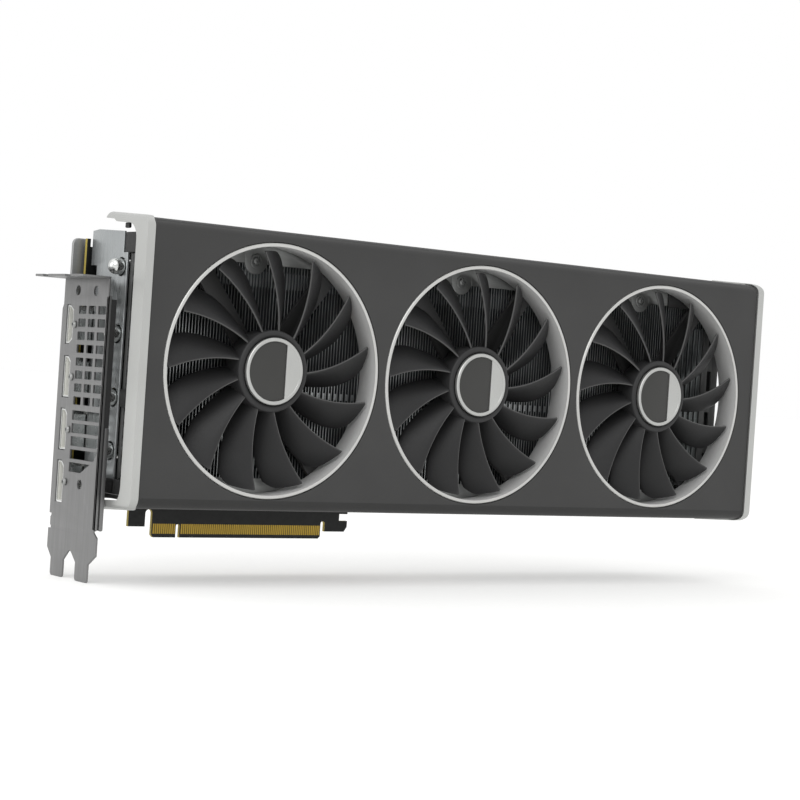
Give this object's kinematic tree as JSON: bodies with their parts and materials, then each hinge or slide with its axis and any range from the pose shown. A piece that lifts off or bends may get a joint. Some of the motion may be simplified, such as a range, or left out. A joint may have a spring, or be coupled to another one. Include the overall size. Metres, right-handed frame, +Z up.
{
  "type": "graphics card",
  "caption": "Three-fan graphics card with a dark front panel, silver end frames, finned heat sink, slot bracket with display ports and an edge connector along its lower side.",
  "frame": {"origin": "middle of the edge connector's lower face, in the thickness of the board", "axes": "+X along the card away from the slot bracket, +Y from the fans to the backplate, +Z up"},
  "size_m": [0.3569, 0.0577, 0.1461],
  "materials": {
    "dark_panel": "satin dark grey paint, fine grain",
    "silver_trim": "satin silver, lightly bead blasted",
    "pale_ring": "silver-grey painted plastic",
    "blade_plastic": "satin moulded black plastic",
    "badge_face": "smooth dark grey plastic",
    "black_plastic": "moulded black plastic",
    "copper": "bare copper, lapped or wound",
    "nickel": "polished nickel plating",
    "fins": "dark nickel-plated sheet",
    "grey_plate": "plain cold-rolled plate",
    "bracket_steel": "grey plated steel sheet",
    "board": "glass-fibre laminate under black solder mask",
    "gold": "gold-plated contact",
    "chip": "moulded chip package",
    "choke": "pressed ferrite block",
    "backplate": "grey anodised plate"
  },
  "bodies": {
    "card": {"front_shroud": "dark_panel", "end_frame_left": "silver_trim", "end_frame_right": "silver_trim", "upper_rail": "grey_plate", "lower_rail": "grey_plate", "end_plate_left": "grey_plate", "fan_ring_1": "pale_ring", "fan_ring_2": "pale_ring", "fan_ring_3": "pale_ring", "fan_frame_1": "black_plastic", "fan_frame_2": "black_plastic", "fan_frame_3": "black_plastic", "power_socket_1": "black_plastic", "power_socket_2": "black_plastic", "switch_body": "black_plastic", "end_wall_right": "black_plastic", "fan_stator_1": "copper", "fan_stator_2": "copper", "fan_stator_3": "copper", "cold_plate": "copper", "fin_stack_front": "fins", "fin_stack_rear_left": "fins", "fin_stack_rear_right": "fins", "fin_stack_flow_end": "fins", "heat_pipe_1": "nickel", "heat_pipe_2": "nickel", "heat_pipe_3": "nickel", "heat_pipe_4": "nickel", "processor_die": "nickel", "clamp_cross": "nickel", "hdmi_port": "nickel", "display_port_1": "nickel", "display_port_2": "nickel", "display_port_3": "nickel", "jack_screw_1": "nickel", "jack_screw_2": "nickel", "jack_screw_3": "nickel", "jack_screw_4": "nickel", "circuit_board": "board", "contacts_short": "gold", "contacts_long": "gold", "processor_package": "chip", "memory_chip_1": "chip", "memory_chip_2": "chip", "memory_chip_3": "chip", "memory_chip_4": "chip", "choke_1": "choke", "choke_2": "choke", "backplate": "backplate", "slot_bracket": "bracket_steel"},
    "fan_1": {"fan_rotor_1": "blade_plastic", "fan_badge_ring_1": "silver_trim", "fan_badge_face_1": "badge_face"},
    "fan_2": {"fan_rotor_2": "blade_plastic", "fan_badge_ring_2": "silver_trim", "fan_badge_face_2": "badge_face"},
    "fan_3": {"fan_rotor_3": "blade_plastic", "fan_badge_ring_3": "silver_trim", "fan_badge_face_3": "badge_face"},
    "switch": {"switch_knob": "pale_ring"}
  },
  "joints": [
    {"name": "fan_1_spin", "type": "hinge", "parent": "card", "child": "fan_1", "pos_m": [-0.0212, -0.05305, 0.07199], "axis": [0, 1, 0], "continuous": true},
    {"name": "fan_2_spin", "type": "hinge", "parent": "card", "child": "fan_2", "pos_m": [0.0855, -0.05305, 0.07199], "axis": [0, 1, 0], "continuous": true},
    {"name": "fan_3_spin", "type": "hinge", "parent": "card", "child": "fan_3", "pos_m": [0.1922, -0.05305, 0.07199], "axis": [0, 1, 0], "continuous": true},
    {"name": "switch_slide", "type": "slide", "parent": "card", "child": "switch", "axis": [1, 0, 0], "range_m": [0, 0.0022]}
  ]
}
